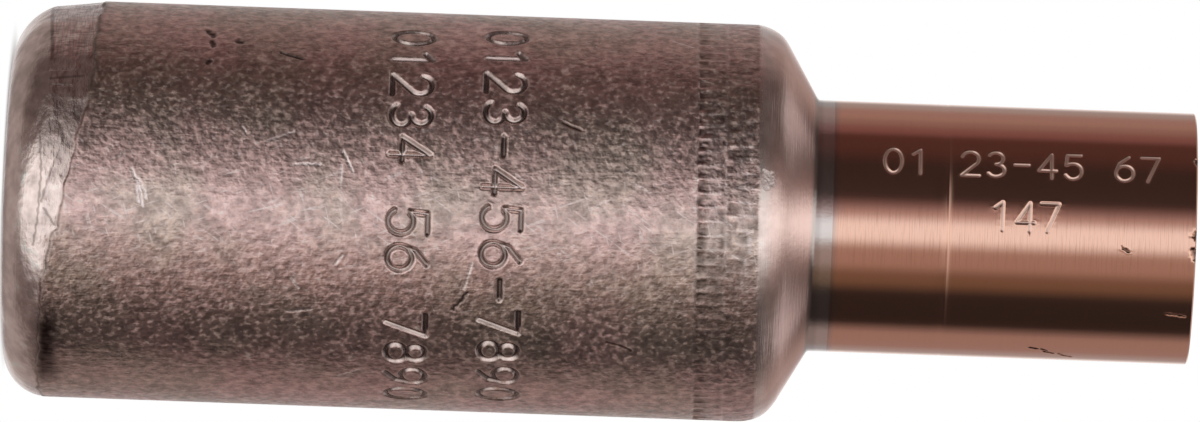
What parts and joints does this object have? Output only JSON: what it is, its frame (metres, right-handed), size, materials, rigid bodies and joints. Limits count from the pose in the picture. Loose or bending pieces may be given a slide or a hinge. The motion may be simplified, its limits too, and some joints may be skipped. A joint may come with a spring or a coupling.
{
  "type": "bimetal compression splice",
  "caption": "Stepped compression splice: an aluminium barrel with a conical shoulder friction welded to a thinner copper barrel, each with a blind bore for a cable conductor.",
  "frame": {"origin": "centre of the aluminium mouth face, which the splice stands on", "axes": "+Z along the barrel axis from the aluminium mouth to the copper mouth; -X is the side where the dressed band at the mouth is widest"},
  "size_m": [0.032, 0.032, 0.095],
  "materials": {
    "aluminium": "etched and tumbled, matt with a fine grain",
    "copper": "fine turned, bright"
  },
  "bodies": {
    "root": {"aluminium_barrel": "aluminium", "copper_barrel": "copper"}
  },
  "joints": []
}
